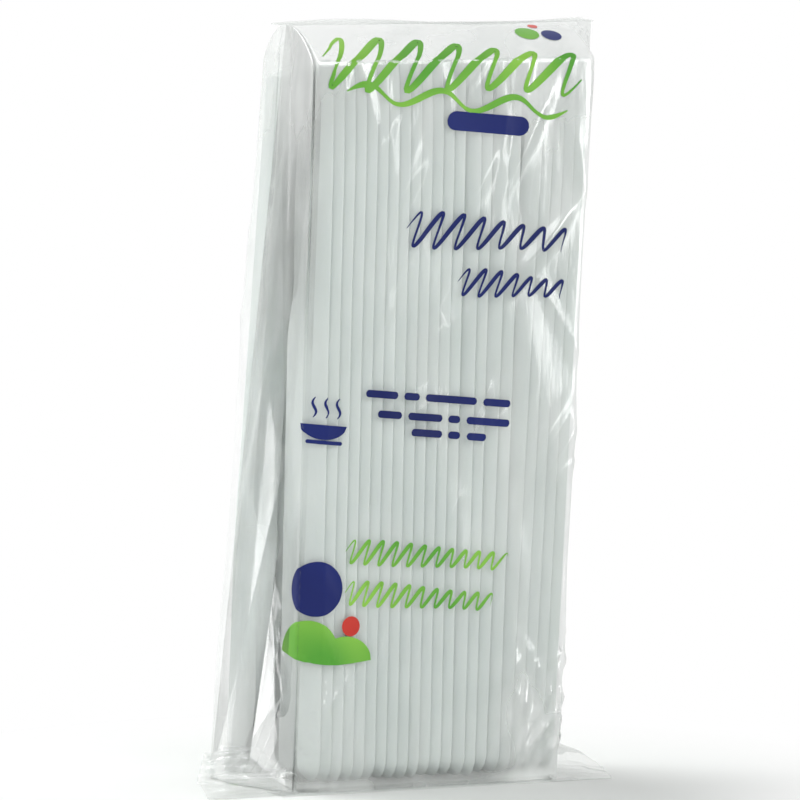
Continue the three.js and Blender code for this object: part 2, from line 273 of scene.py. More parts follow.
def blade_section(v):
    """The same four corners on the blade, where the last one is the cutting edge."""
    t = (v - HEEL) / (KNIFE_LENGTH - HEEL)
    width = TIP_WIDTH + (BLADE_WIDTH - TIP_WIDTH) * (1 - t**4)
    depth = TIP_DEPTH + (CHANNEL_DEPTH - TIP_DEPTH) * math.sqrt(max(0, 1 - t))
    lift = TIP_LIFT * t
    spine = DRAFT * depth
    edge_lift = CHANNEL_DEPTH - WALL + (TIP_LIFT + WALL / 2 - CHANNEL_DEPTH + WALL) * t
    bevel = width - min(BEVEL_WIDTH, 0.4 * width)
    share = (bevel - spine) / (width - spine)
    toothed = TEETH_FROM < v < TEETH_TO and round(2 * v / TOOTH_PITCH) % 2
    edge = width - (TOOTH_DEPTH if toothed else 0)
    return [
        (lift + depth, 0, v),
        (lift, spine, v),
        (lift + (edge_lift - WALL / 2 - lift) * share, bevel, v),
        (edge_lift, edge, v),
    ]


def knife_sections():
    """All sections from the handle's end to the tip."""
    end_rows = 5
    shoulder_rows = 7
    sections = [handle_section(0, math.pi / 2 * i / end_rows) for i in range(end_rows + 1)]
    sections += [handle_section(v, math.pi / 2) for v in (30, 65, HANDLE_END)]
    before = handle_section(HANDLE_END, math.pi / 2)
    after = blade_section(HEEL)
    for i in range(1, shoulder_rows):
        t = i / shoulder_rows
        ease = t * t * (3 - 2 * t)
        v = HANDLE_END + (HEEL - HANDLE_END) * t
        row = []
        for a, b in zip(before, after):
            row.append((a[0] + (b[0] - a[0]) * ease, a[1] + (b[1] - a[1]) * ease, v))
        sections.append(row)
    count = round((KNIFE_LENGTH - HEEL) / (TOOTH_PITCH / 2))
    sections += [blade_section(HEEL + i * TOOTH_PITCH / 2) for i in range(count + 1)]
    return sections


print(len(knife_sections()), "sections along the knife")

# %% [markdown]
# The grid is laid out row by row. The wall gets thinner towards the cutting edge by a
# vertex group that the Solidify modifier reads, as the steel of the mould was ground.

# %% Model the knife
def model_knife():
    sections = knife_sections()
    piece, cells = grid_piece("knife_pattern", 3, len(sections) - 1)
    wall = piece.vertex_groups.new(name="wall")
    for vertex, (column, row) in zip(piece.data.vertices, cells):
        depth, across, along = sections[row][column]
        vertex.co = Vector((depth, across, along)) * MM
        on_edge = column == 3 and along >= HEEL
        wall.add([vertex.index], EDGE_THINNING if on_edge else 1.0, "REPLACE")
    choose(piece)
    bpy.ops.object.mode_set(mode="EDIT")
    bpy.ops.mesh.select_mode(type="VERT")
    bpy.ops.mesh.select_all(action="DESELECT")
    bpy.ops.object.mode_set(mode="OBJECT")
    for vertex, (column, row) in zip(piece.data.vertices, cells):
        vertex.select = row == 0
    bpy.ops.object.mode_set(mode="EDIT")
    bpy.ops.mesh.edge_face_add()
    bpy.ops.mesh.select_all(action="SELECT")
    bpy.ops.mesh.normals_make_consistent(inside=False)
    bpy.ops.object.mode_set(mode="OBJECT")
    web = max(piece.data.polygons, key=lambda face: abs(face.normal.x) * face.area)
    if web.normal.x > 0:
        bpy.ops.object.mode_set(mode="EDIT")
        bpy.ops.mesh.flip_normals()
        bpy.ops.object.mode_set(mode="OBJECT")
    solidify = piece.modifiers.new("wall", "SOLIDIFY")
    solidify.thickness = WALL * MM
    solidify.offset = -1
    solidify.use_even_offset = True
    solidify.vertex_group = "wall"
    bevel = piece.modifiers.new("moulded edges", "BEVEL")
    bevel.width = EDGE_BREAK * MM
    bevel.segments = 2
    bevel.limit_method = "ANGLE"
    bevel.angle_limit = math.radians(50)
    apply_modifiers(piece)
    bpy.ops.object.shade_smooth_by_angle(angle=math.radians(32))
    piece.vertex_groups.clear()
    return piece


knife_pattern = model_knife()
print("knife:", len(knife_pattern.data.polygons), "faces")

# %% [markdown]
# ## The two rows
# The knives are copies of one pattern, as they are in life. Each copy has its own mesh
# with its place in it. The front row leans a little and has a few looser places, which
# are wider at the foot, at the top or at both. Its knives stand a little unevenly. The
# rear row leans more and is turned over.

# %% Places of the knives
FRONT_COUNT = 22
REAR_COUNT = 28
FRONT_PITCH = 2.75
REAR_PITCH = 2.61
FRONT_LEAN = 4
REAR_LEAN = 12.7
SPINE_TO_SPINE = 35.5
REAR_RISE = 1.2
LOOSE_PLACES = {13: (0.5, 1.4), 15: (0, 1.6), 16: (0.5, 0.2), 17: (0, 2.9)}  # foot, top


def front_places():
    """For each front knife: x at the foot, x at the top, and how high it stands."""
    foot = FRONT_FOOT_X
    top = FRONT_FOOT_X + FRONT_LEAN
    places = []
    for i in range(FRONT_COUNT):
        foot_gap, top_gap = LOOSE_PLACES.get(i, (0, 0))
        foot += FRONT_PITCH + foot_gap if i else 0
        top += FRONT_PITCH + top_gap if i else 0
        uneven = 0.15 * (4 - i % 5) + 0.12 * (2 - i % 3)
        places.append((foot, top, uneven))
    return places


FRONT_PLACES = front_places()


def set_knife(number, matrix):
    node = f"knife_{number:02d}"
    mesh = knife_pattern.data.copy()
    mesh.name = f"moulded_{node}"
    mesh.transform(matrix)
    piece = bpy.data.objects.new(f"moulded_{node}", mesh)
    bpy.context.collection.objects.link(piece)
    dress(piece, knife_plastic)
    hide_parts(node)


for index, (foot, top, height) in enumerate(FRONT_PLACES):
    lean = math.asin((top - foot) / KNIFE_LENGTH)
    spot = Matrix.Translation(place(foot, 0, FOOT_Z + height - FRONT_PLACES[0][2]))
    set_knife(index + 1, spot @ Matrix.Rotation(lean, 4, "Y"))

rear_lean = math.asin(REAR_LEAN / KNIFE_LENGTH)
turned = Matrix.Rotation(rear_lean, 4, "Y") @ Matrix.Rotation(math.pi, 4, "X")
for index in range(REAR_COUNT):
    rise = REAR_RISE * index / (REAR_COUNT - 1)
    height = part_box("knife_23")[1].z / MM + rise
    spot = Matrix.Translation(place(REAR_LEAN + index * REAR_PITCH, SPINE_TO_SPINE, height))
    set_knife(FRONT_COUNT + 1 + index, spot @ turned)

bpy.data.objects.remove(knife_pattern)
print(FRONT_COUNT + REAR_COUNT, "knives stand in their rows")

# %% [markdown]
# ## The film
# The bag is a flat web of clear film that is rolled round the knives, sealed down the
# back and crimped across at both ends. We make it the same way: a fine grid is the flat
# web, and each of its points is carried to its place on the roll. The roll follows the
# outline of the two rows, which has eight corners at every height.

# %% Outline of the rows
BODY_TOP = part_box("knife_50")[1].z / MM
FILM_ROOM = 0.55  # from the knives to the middle of the film
CLOSURE_RISE = 8
SEAL_Y = 20
SEAL_LEFT = 12
SEAL_RIGHT = 90
RIM_ROOM = 0.4  # room for the last knife's lean at the right
LEFT_ROOM = 0.3  # room for the rear row's first knife


def outline(z):
    """The eight corners at height z, as (x, y), from the front left round the front."""
    up = min(1, max(0, (z - FOOT_Z) / KNIFE_LENGTH))
    foot, top, _ = FRONT_PLACES[-1]
    front_left = FRONT_FOOT_X + FRONT_LEAN * up
    front_right = foot + (top - foot) * up + CHANNEL_DEPTH + RIM_ROOM
    rear_left = REAR_LEAN * up
    rear_right = rear_left + (REAR_COUNT - 1) * REAR_PITCH + CHANNEL_DEPTH + RIM_ROOM
    flare = DRAFT * CHANNEL_DEPTH
    rear_front = SPINE_TO_SPINE - RIM_WIDTH
    return np.array([
        (front_left - 0.1, flare * (1 - up)),
        (front_left + CHANNEL_DEPTH, 0),
        (front_right, 0),
        (rear_right, rear_front),
        (rear_right, SPINE_TO_SPINE),
        (rear_left + CHANNEL_DEPTH, SPINE_TO_SPINE),
        (rear_left - LEFT_ROOM, SPINE_TO_SPINE - flare * up),
        (rear_left - LEFT_ROOM, rear_front + flare),
    ])


SIDE_STEPS = [5, 64, 20, 14, 68, 5, 11, 20]  # steps of about 1 mm along each side
ROUND_STEPS = 2  # columns that turn each corner
BEND_STEP = 0.12  # the web's length between two columns of a corner


def columns_of_roll():
    """Each column of the web: its side, its share of that side, and the turn at a corner."""
    columns = []
    for side, steps in enumerate(SIDE_STEPS):
        columns += [(side, i / steps, 0.0) for i in range(steps + 1)]
        columns += [(side, 1.0, (i + 1) / (ROUND_STEPS + 1)) for i in range(ROUND_STEPS)]
    return columns


COLUMNS = columns_of_roll()
print("the web has", len(COLUMNS), "columns")

# %% [markdown]
# The print and the creases both need a place on the web, in millimetres. Across the web
# we count from the front left corner to the right, and up the web we count from the
# table, on over the closure at the top.

# %% Places on the web
WEB_FOOT = 0.3  # the film's lower edge, above the table
BODY_ROWS = 132
CLOSURE_ROWS = 18


def web_across():
    """Distance of each column from the front left corner, along the web, at mid height."""
    corners = outline(BODY_TOP / 2)
    lengths = np.linalg.norm(np.roll(corners, -1, axis=0) - corners, axis=1)
    starts = np.concatenate([[0], np.cumsum(lengths)]) - lengths[0]
    bends = np.cumsum([turn > 0 or (side > 0 and share == 0) for side, share, turn in COLUMNS])
    flat = np.array([starts[side] + lengths[side] * share for side, share, _ in COLUMNS])
    return flat + BEND_STEP * bends


def web_rows():
    """Rows of the web, each as its height on the web and how far it is closed."""
    body = [(z, 0.0) for z in np.linspace(WEB_FOOT, BODY_TOP, BODY_ROWS)]
    slope = math.hypot(SEAL_Y, CLOSURE_RISE)
    closure = [(BODY_TOP + slope * q, q) for q in np.linspace(0, 1, CLOSURE_ROWS + 1)[1:]]
    return body + closure


ACROSS = web_across()
ROWS = web_rows()
UP = np.array([row[0] for row in ROWS])
print("the web is", round(ACROSS.max() - ACROSS.min()), "by", round(UP.max()), "mm")

# %% [markdown]
# ## Creases
# Tight film doesn't crumple at random. It has long soft creases that run up the pack or
# aslant between the corners, short ones that gather at the folds, and sharp ones low on
# the two front corners. Each crease is a ridge with a soft section that fades at both
# ends, and a seeded draw places them. Between them the film bellies out slowly.

# %% Creases
draw = random.Random(11)
FRONT_WIDTH = ACROSS[sum(SIDE_STEPS[:2]) + ROUND_STEPS + 1]


def crease_list():
    """Creases as (across, up, angle, half length, half width, height)."""
    creases = []
    for _ in range(95):
        angle = draw.choice([draw.uniform(-8, 8), draw.uniform(12, 50), draw.uniform(-40, -12)])
        creases.append((
            draw.uniform(ACROSS.min(), ACROSS.max()),
            draw.uniform(8, BODY_TOP - 5),
            math.radians(angle),
            draw.uniform(8, 34),
            draw.uniform(0.7, 2.2),
            draw.uniform(0.12, 0.38),
        ))
    for _ in range(60):
        creases.append((
            draw.uniform(ACROSS.min(), ACROSS.max()),
            draw.choice([draw.uniform(0, 12), BODY_TOP + draw.uniform(-4, 18)]),
            math.radians(draw.uniform(-35, 35)),
            draw.uniform(5, 14),
            draw.uniform(0.5, 1.2),
            draw.uniform(0.2, 0.6),
        ))
    for corner in (0, FRONT_WIDTH):
        for _ in range(18):
            creases.append((
                corner + draw.uniform(-9, 7),
                draw.uniform(3, 30),
                math.radians(draw.uniform(-60, 60)),
                draw.uniform(6, 17),
                draw.uniform(0.35, 0.8),
                draw.uniform(0.4, 1.0),
            ))
    for _ in range(26):
        creases.append((
            draw.uniform(2, FRONT_WIDTH),
            draw.uniform(10, BODY_TOP - 15),
            math.radians(draw.uniform(20, 55)),
            draw.uniform(9, 22),
            draw.uniform(1.4, 3.0),
            draw.uniform(0.35, 0.7),
        ))
    return creases


def crease_height(across, up, creases):
    """How far the creases lift the film at each place on the web, in millimetres."""
    lift = np.zeros(np.broadcast(across, up).shape)
    for centre, height, angle, reach, width, rise in creases:
        du = across - centre
        dv = up - height
        side = du * math.cos(angle) - dv * math.sin(angle)
        along = du * math.sin(angle) + dv * math.cos(angle)
        ends = np.clip(1 - (along / reach) ** 2, 0, 1) ** 2
        lift += rise * ends / (1 + (side / width) ** 2) ** 2
    return lift


CREASES = crease_list()
LIFT = crease_height(ACROSS[None, :], UP[:, None], CREASES)
SWELL = 0.25 * (1 + np.sin(0.19 * ACROSS[None, :] + 0.05 * UP[:, None])) * np.sin(
    0.045 * UP[:, None] + 0.07 * ACROSS[None, :]
) ** 2
print("the highest crease stands", round(float(LIFT.max()), 2), "mm off the roll")

# %% [markdown]
# Now each point of the web gets its place. On the body it stands off the outline by the
# film's room and its creases. On the closure the section is squeezed towards the seal.

# %% Roll the web
CREASE_LOSS = 0.6  # share of its height that a crease loses where the film is drawn to the seal
TUCK = 1.4  # powers that shape the closure: how late it is drawn in, and how round it rises
DOME = 1.2


def rolled_point(column, row, lift):
    """The place on the roll of one point of the web. The corners are turned in steps."""
    side, share, turn = COLUMNS[column]
    height, closed = ROWS[row]
    corners = outline(min(height, BODY_TOP))
    a, b, c = (corners[(side + k) % 8] for k in range(3))
    along = (b - a) / np.linalg.norm(b - a)
    after = (c - b) / np.linalg.norm(c - b)
    out = np.array([along[1], -along[0]]) * (1 - turn) + np.array([after[1], -after[0]]) * turn
    out /= np.linalg.norm(out)
    point = a + (b - a) * share + out * (FILM_ROOM + lift)
    squeeze = closed**TUCK
    x = point[0] + (min(max(point[0], SEAL_LEFT), SEAL_RIGHT) - point[0]) * squeeze
    y = SEAL_Y + (point[1] - SEAL_Y) * (1 - squeeze)
    rise = CLOSURE_RISE * math.sin(closed * math.pi / 2) ** DOME
    return place(x, y, BODY_TOP + rise if closed else height)


def film_lift(column, row):
    return LIFT[row, column] * (1 - CREASE_LOSS * ROWS[row][1]) + SWELL[row, column]


WEB = np.array([
    [rolled_point(column, row, film_lift(column, row)) for column in range(len(COLUMNS))]
    for row in range(len(ROWS))
])
print("rolled", WEB.shape[0], "rows of", WEB.shape[1], "points")

# %% Film body
def model_film():
    piece, cells = grid_piece("bag_film", len(COLUMNS) - 1, len(ROWS) - 1)
    for vertex, (column, row) in zip(piece.data.vertices, cells):
        vertex.co = WEB[row, column]
    choose(piece)
    bpy.ops.object.mode_set(mode="EDIT")
    bpy.ops.mesh.select_all(action="SELECT")
    bpy.ops.mesh.remove_doubles(threshold=0.00002)
    bpy.ops.object.mode_set(mode="OBJECT")
    for vertex in piece.data.vertices:
        vertex.select = vertex.co.z < 0.5 * MM
    bpy.ops.object.mode_set(mode="EDIT")
    # the web is still open at its first corner, so this face takes in those edges too
    bpy.ops.mesh.edge_face_add()
    bpy.ops.mesh.select_all(action="SELECT")
    bpy.ops.mesh.normals_make_consistent(inside=False)
    bpy.ops.object.mode_set(mode="OBJECT")
    bpy.ops.object.shade_smooth()
    return piece


film_piece = model_film()
print("film:", len(film_piece.data.polygons), "faces")

# %% [markdown]
# ## Clear film
# The film is cast polylactide, about 0.04 mm thick. It lets nearly all light through, with
# a faint milky haze, and its gloss shows most where we look along it. So the shader mixes
# a transparent one with a white, glossy one, and a Layer Weight raises the white one
# where the film turns away. The film's flow in casting gives it a slow, weak bump.
# Soft steps over the pack make it milkier at the folded bottom, below the closure and
# along both sides. This is partly the web folded over itself or standing off the knives,
# and partly painted light: the glow of the light from behind shining through the film,
# and a lighter low left corner.

# %% Film material
# The haze runs between these two values in slanted patches of noise, not by where the film touches
# a knife. The patches are partly the film's uneven haze and partly a painted sheen.
FILM_HAZE = (0.04, 0.24)  # where it lies on a knife, and where it stands off
FILM_EDGE_HAZE = 0.30
CRIMPED_HAZE = (0.26, 0.42)
CRIMPED_EDGE_HAZE = 0.55
FILM_INDEX = 2.5  # higher than the real 1.46, because the mix weakens the gloss
FLOW_PER_METRE = 180.0  # one swing of the casting's flow in about 5.6 mm
HAZE_AND_SHEEN_PATCHES_PER_METRE = 90.0  # one milky patch in about 11 mm
HAZE_AND_SHEEN_PATCH_SPAN = (0.45, 0.68)  # where the noise turns from clear to milky


def film_material(name, haze, edge_haze, roughness, bump_strength, haze_and_back_glow_zones=()):
    material = new_material(name)
    coords = add_node(material, "ShaderNodeTexCoord").outputs["Object"]
    stretch = add_node(
        material, "ShaderNodeMapping", {"Vector": coords, "Scale": (1.0, 1.0, 0.25)}
    )
    flow = add_node(
        material,
        "ShaderNodeTexNoise",
        {"Vector": stretch.outputs["Vector"], "Scale": FLOW_PER_METRE, "Detail": 3.0},
    )
    bump = add_node(
        material,
        "ShaderNodeBump",
        {"Height": flow.outputs["Fac"], "Strength": bump_strength, "Distance": 0.001},
    )
    white = add_node(
        material,
        "ShaderNodeBsdfPrincipled",
        {
            "Base Color": linear("F4F8F5"),
            "Roughness": roughness,
            "IOR": FILM_INDEX,
            "Specular IOR Level": 1.0,
            "Coat Weight": 0.5,
            "Coat IOR": 3.0,
            "Coat Roughness": 0.12,
            "Normal": bump.outputs["Normal"],
        },
    )
    clear = add_node(material, "ShaderNodeBsdfTransparent")
    facing = add_node(material, "ShaderNodeLayerWeight", {"Blend": 0.25})
    slanted = add_node(
        material,
        "ShaderNodeMapping",
        {"Vector": coords, "Rotation": (0.0, math.radians(35), 0.0), "Scale": (1.0, 1.0, 0.3)},
    )
    # slanted patches of haze: partly uneven haze, partly a painted sheen
    patches = add_node(
        material,
        "ShaderNodeTexNoise",
        {"Vector": slanted.outputs["Vector"], "Scale": HAZE_AND_SHEEN_PATCHES_PER_METRE, "Detail": 2.5},
    )
    across, _, up = add_node(
        material, "ShaderNodeSeparateXYZ", {"Vector": coords}
    ).outputs
    milky = add_node(
        material,
        "ShaderNodeMapRange",
        {
            "Value": patches.outputs["Fac"],
            "From Min": HAZE_AND_SHEEN_PATCH_SPAN[0],
            "From Max": HAZE_AND_SHEEN_PATCH_SPAN[1],
            "To Min": haze[0],
            "To Max": haze[1],
        },
        interpolation_type="SMOOTHSTEP",
    ).outputs["Result"]
    # Each zone adds white haze; much of it is painted light, the glow of the light from behind.
    for across_span, up_span, more in haze_and_back_glow_zones:
        for value, span in ((across, across_span), (up, up_span)):
            if span:
                step = add_node(
                    material,
                    "ShaderNodeMapRange",
                    {"Value": value, "From Min": span[0] * MM, "From Max": span[1] * MM},
                    interpolation_type="SMOOTHSTEP",
                ).outputs["Result"]
                more = add_node(
                    material, "ShaderNodeMath", {0: step, 1: more}, operation="MULTIPLY"
                ).outputs[0]
        milky = add_node(
            material, "ShaderNodeMath", {0: milky, 1: more}, operation="ADD", use_clamp=True
        ).outputs[0]
    amount = add_node(
        material,
        "ShaderNodeMapRange",
        {
            "Value": facing.outputs["Facing"],
            "From Min": 0.3,
            "To Min": milky,
            "To Max": edge_haze,
        },
    )
    mixed = add_node(
        material,
        "ShaderNodeMixShader",
        {0: amount.outputs["Result"], 1: clear.outputs["BSDF"], 2: white.outputs["BSDF"]},
    )
    add_node(material, "ShaderNodeOutputMaterial", {"Surface": mixed.outputs["Shader"]})
    return material


LEFT_EDGE = ZERO_X / MM
RIGHT_EDGE = place(FRONT_PLACES[-1][0], 0, 0).x / MM
# Zones of extra haze. At the foot it is partly the film folded under; below the closure, along the
# right and in the low left it is mostly painted light from behind.
HAZE_AND_BACK_GLOW_ZONES = [  # span across, span up, each from clear to milky, and how milky it gets
    (None, (4.5, 1.0), 0.35),
    (None, (38, 8), 0.08),
    ((LEFT_EDGE + 9, LEFT_EDGE + 5), (38, 8), 0.25),
    ((LEFT_EDGE + 14, LEFT_EDGE + 9), (95, 130), 0.22),
    (None, (BODY_TOP - 28, BODY_TOP - 4), 0.30),
    ((RIGHT_EDGE - 20, RIGHT_EDGE + 5), None, 0.24),
    ((RIGHT_EDGE - 14, RIGHT_EDGE - 2), (34, 10), 0.16),
]

clear_film = film_material(
    "cast_polylactide_film", FILM_HAZE, FILM_EDGE_HAZE, 0.17, 0.3, HAZE_AND_BACK_GLOW_ZONES
)
crimped_film = film_material(
    "crimped_film_layers", CRIMPED_HAZE, CRIMPED_EDGE_HAZE, 0.16, 0.25
)
dress(film_piece, clear_film)
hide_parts("film_bag")
print("materials:", clear_film.name, crimped_film.name)

# %% [markdown]
# ## Crimped seals
# Both ends are pressed between ribbed jaws, which leave a few fine ribs along the seal.
# The top seal lies folded back. The bottom seal is folded under the front edge, and the
# corners of the flattened bottom stick out as two ears that curl up towards the rear.
# Each is a grid laid from a few stations, made thick with Solidify.

# %% Seals
SEAL_DEPTH = 9
RIB_PITCH = 1.8
RIB_HEIGHT = 0.3
LAYERS = 0.22  # two or three layers of film pressed together
SEAL_GRID = (110, 50)  # fine enough for ten faces to a rib
BOTTOM_SEAL_X = 1
BOTTOM_SEAL_WIDTH = 74.5
BOTTOM_SEAL_Y = -3
RIBBED_SHARE = 0.35  # the rest of the bottom seal lies flat under the pack
LEFT_WALL_X = 6
RIGHT_WALL_X = 69
# stations of each ear, as (y, outer x, height of the outer edge, height at the wall)
LEFT_EAR = [
    (-1, -16.5, 0, 0), (9, -15, 3.2, 2.6), (16, -11, 5.6, 6),
    (22, -7.8, 7.4, 8), (28, -4, 5, 6), (34, -1.5, 0.6, 0.6),
]
RIGHT_EAR = [
    (-3, 84, 0, 0), (7, 86, 1, 4), (11, 85, 3.6, 8),
    (17, 82, 4, 7), (25, 79, 2, 4), (32, 78, 0.4, 0.5),
]


def rib(distance):
    """Height of the crimp's ribs at a distance from the seal's edge."""
    if not 0 <= distance <= SEAL_DEPTH:
        return 0
    return RIB_HEIGHT * (0.5 - 0.5 * math.cos(2 * math.pi * distance / RIB_PITCH))


def crumple(x, y, size=1.0):
    """A small uneven lift, the same each run."""
    wave = math.sin(0.61 * x + 0.9 * y) + math.sin(1.13 * x - 0.47 * y + 2)
    return size * 0.22 * (wave + math.sin(0.27 * x + 1.7 * y + 1))


def seal_piece(name, columns, rows, at):
    piece, cells = grid_piece(name, columns, rows)
    for vertex, (column, row) in zip(piece.data.vertices, cells):
        vertex.co = place(*at(column / columns, row / rows))
    choose(piece)
    bpy.ops.object.mode_set(mode="EDIT")
    bpy.ops.mesh.select_all(action="SELECT")
    bpy.ops.mesh.normals_make_consistent(inside=False)
    bpy.ops.object.mode_set(mode="OBJECT")
    solidify = piece.modifiers.new("layers", "SOLIDIFY")
    solidify.thickness = LAYERS * MM
    solidify.offset = 0
    apply_modifiers(piece)
    bpy.ops.object.shade_smooth_by_angle(angle=math.radians(40))
    dress(piece, crimped_film)
    return piece


def top_seal_point(across, back):
    x = SEAL_LEFT + (SEAL_RIGHT - SEAL_LEFT) * across
    wave = 0.8 * math.sin(7 * across) * back
    z = BODY_TOP + CLOSURE_RISE - 0.2 + wave + rib(SEAL_DEPTH * back)
    return x, SEAL_Y + SEAL_DEPTH * back, z


def bottom_seal_point(across, back):
    z = 0.15 + rib(SEAL_DEPTH * back) * (1 if back < RIBBED_SHARE else 0)
    return BOTTOM_SEAL_X + BOTTOM_SEAL_WIDTH * across, BOTTOM_SEAL_Y + SEAL_DEPTH * back, z


def ear_point(stations, wall_x):
    ys = [station[0] for station in stations]

    def at(outward, back):
        y = ys[0] + (ys[-1] - ys[0]) * back
        outer, lift, wall_lift = (
            float(np.interp(y, ys, [station[k] for station in stations])) for k in (1, 2, 3)
        )
        x = wall_x + (outer - wall_x) * outward
        arch = math.sin(math.pi * outward) * 0.9 * min(1, back * 3)
        loose = min(1, back * 4) * outward
        z = wall_lift + (lift - wall_lift) * outward + arch + crumple(x, y) * loose
        return x, y, max(0.15, z + rib(y - ys[0]) + 0.2)

    return at


seal_piece("top_seal", *SEAL_GRID, top_seal_point)
seal_piece("bottom_seal", *SEAL_GRID, bottom_seal_point)
seal_piece("left_ear", 44, 110, ear_point(LEFT_EAR, LEFT_WALL_X))
seal_piece("right_ear", 34, 110, ear_point(RIGHT_EAR, RIGHT_WALL_X))
print("seals are made")

# %% [markdown]
# ## Back seam and vent
# The web's two long edges are joined down the back in a seam that lies flat, and a small
# punched hole lets the air out when packs are stacked.

# %% Back seam
SEAM_X = 36
SEAM_WIDTH = 9
SEAM_MARGIN = 6  # from each end of the body
SEAM_OFF = 1.5  # from the rear row's spines to the seam
VENT_X = 62
VENT_Z = 148
VENT_RADIUS = 1.5
VENT_RIM = 0.12
VENT_OFF = 1.0


def seam_point(across, up):
    z = SEAM_MARGIN + (BODY_TOP - 2 * SEAM_MARGIN) * up
    x = SEAM_X + SEAM_WIDTH * (across - 0.5) + REAR_LEAN * up
    return x, SPINE_TO_SPINE + SEAM_OFF + 0.2 * math.sin(0.21 * z) * across, z


seal_piece("back_seam", 12, 90, seam_point)

deselect()
bpy.ops.mesh.primitive_torus_add(
    major_segments=32,
    minor_segments=8,
    major_radius=VENT_RADIUS * MM,
    minor_radius=VENT_RIM * MM,
    location=(0, 0, 0),
)
vent_rim = bpy.context.object
vent_rim.name = "vent_rim"
vent_place = place(VENT_X, SPINE_TO_SPINE + VENT_OFF, VENT_Z)
vent_rim.data.transform(Matrix.Translation(vent_place) @ Matrix.Rotation(math.pi / 2, 4, "X"))
bpy.ops.object.shade_smooth()
dress(vent_rim, crimped_film)
print("the back has its seam and vent")

# %% [markdown]
# ## The print
# The front is printed in flat inks before the web is rolled. We lay the print out flat
# too, in millimetres on the web, and then carry each point to the rolled film, a hair
# outside it. The print is plain: a brush wave, pen waves and bars, with a hot bowl sign
# and a landscape of simple shapes.

# %% From the flat print to the film
PRINT_TILT = math.radians(-5.7)
INK_LIFT = 0.12  # mm off the film, so that the film's facets seldom cut the ink


def on_film(across, up):
    """The place on the rolled film of a point on the flat web, both in millimetres."""
    if across < ACROSS[0]:
        across += ACROSS[-1] + BEND_STEP - ACROSS[0]  # the roll closes at that corner
    column = int(np.clip(np.searchsorted(ACROSS, across, side="right") - 1, 0, len(ACROSS) - 2))
    row = int(np.clip(np.searchsorted(UP, up, side="right") - 1, 0, len(UP) - 2))
    s = min(1, (across - ACROSS[column]) / (ACROSS[column + 1] - ACROSS[column]))
    t = (up - UP[row]) / (UP[row + 1] - UP[row])
    a, b = WEB[row, column], WEB[row, column + 1]
    c, d = WEB[row + 1, column], WEB[row + 1, column + 1]
    point = (a * (1 - s) + b * s) * (1 - t) + (c * (1 - s) + d * s) * t
    normal = np.cross(b - a, c - a)
    return Vector(point + normal / np.linalg.norm(normal) * INK_LIFT * MM)


def ink_patch(origin, columns, rows, at, tilt=PRINT_TILT):
    """A patch of ink. at(along, side) gives its flat shape in millimetres about origin."""
    piece, cells = grid_piece("ink_patch", columns, rows)
    for vertex, (column, row) in zip(piece.data.vertices, cells):
        x, y = at(column / columns, row / rows)
        across = origin[0] + x * math.cos(tilt) - y * math.sin(tilt)
        up = origin[1] + x * math.sin(tilt) + y * math.cos(tilt)
        vertex.co = on_film(across, up)
    return piece


def stroke(line, half_width):
    """A shape for ink_patch: a line with a width, both given along the stroke from 0 to 1."""
    step = 1e-3

    def at(along, side):
        before, after = line(along - step), line(along + step)
        direction = np.array(after) - np.array(before)
        direction /= np.linalg.norm(direction)
        offset = (2 * side - 1) * half_width(along)
        x, y = line(along)
        return x - direction[1] * offset, y + direction[0] * offset

    return at


def rounded(length, radius):
    """Half width of a bar with round ends, along it from 0 to 1."""

    def half_width(along):
        end = min(along, 1 - along) * length
        return radius if end >= radius else math.sqrt(max(0, radius**2 - (radius - end) ** 2))

    return half_width


print("the print's centre lies at", [round(v, 3) for v in on_film(FRONT_WIDTH / 2, 90)])

# %% [markdown]
# Three shapes make most of the print: a bar with round ends, a pen wave whose line gets
# thicker and thinner, and a disc. The hills and the bowl have shapes of their own.

# %% Bars, waves and discs
WAVE_COLUMNS = 26  # to each turn of a wave


def bar(origin, start, length, radius):
    line = lambda t: (start + length * t, 0)
    return ink_patch(origin, max(24, round(length * 5)), 2, stroke(line, rounded(length, radius)))


def wave(origin, length, height, pitch, radius, slant=0.35, swell=0.0):
    turns = length / pitch

    def line(t):
        bend = math.sin(2 * math.pi * turns * t)
        size = height / 2 * (1 + swell * math.sin(5 * t + 0.6))
        return length * t + slant * size * bend, size * bend

    def half_width(t):
        press = 1 + 0.35 * math.sin(2 * math.pi * turns * t + 1.2)
        return radius * press * min(1, 14 * min(t, 1 - t) + 0.15)

    return ink_patch(origin, round(turns * WAVE_COLUMNS), 4, stroke(line, half_width))


def disc(origin, radius):
    def at(along, side):
        x = -math.cos(math.pi * along)
        return radius * x, radius * math.sqrt(max(0, 1 - x * x)) * (2 * side - 1)

    return ink_patch(origin, 24 + round(5 * radius), 4 + round(4 * radius), at)


def ink_piece(name, patches, material):
    deselect()
    for patch in patches:
        patch.select_set(True)
    bpy.context.view_layer.objects.active = patches[0]
    bpy.ops.object.join()
    piece = bpy.context.object
    piece.name = name
    piece.data.name = name
    bpy.ops.object.mode_set(mode="EDIT")
    bpy.ops.mesh.select_all(action="SELECT")
    bpy.ops.mesh.remove_doubles(threshold=0.000005)
    bpy.ops.object.mode_set(mode="OBJECT")
    bpy.ops.object.shade_smooth()
    dress(piece, material)
    return piece


print("ink shapes are ready")

# %% [markdown]
# ## Inks
# Film is printed in flexography with thin, slightly glossy inks. Each runs from a deep
# to a light tone in soft clouds, the green most of all.

